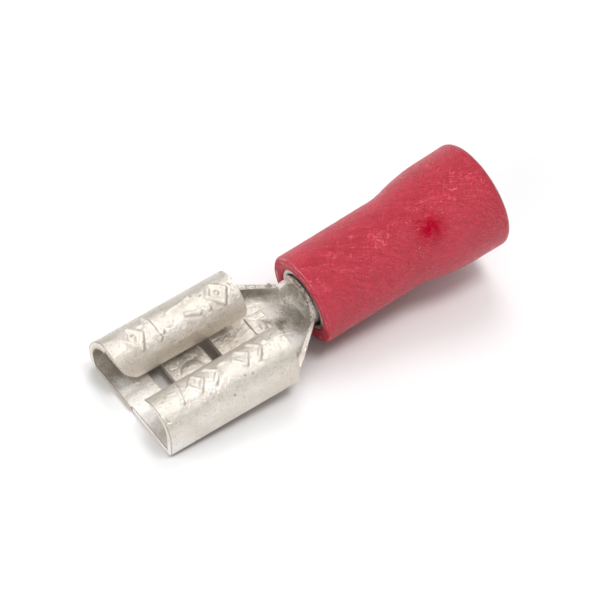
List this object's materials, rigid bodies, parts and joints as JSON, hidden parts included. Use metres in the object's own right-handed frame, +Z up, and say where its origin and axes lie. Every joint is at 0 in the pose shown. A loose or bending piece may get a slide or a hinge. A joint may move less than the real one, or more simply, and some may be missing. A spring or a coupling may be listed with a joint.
{
  "type": "female spade terminal",
  "caption": "Insulated female spade terminal: folded tin-plated mouth that grips a flat blade, round wire barrel behind it, and a flared red vinyl sleeve over the barrel.",
  "frame": {"origin": "centre of the terminal's box, on the surface that it lies on", "axes": "+X along the terminal's length, from the mouth towards the wire entry, +Z up, +Y to the left of the wire entry seen from the mouth"},
  "size_m": [0.0232, 0.0074, 0.0078],
  "materials": {
    "tinned_contact": "tin plated, worn satin",
    "tinned_ferrule": "tin plated, worn satin",
    "red_vinyl": "dull semi-gloss"
  },
  "bodies": {
    "root": {"contact": "tinned_contact", "ferrule": "tinned_ferrule", "sleeve": "red_vinyl"}
  },
  "joints": []
}
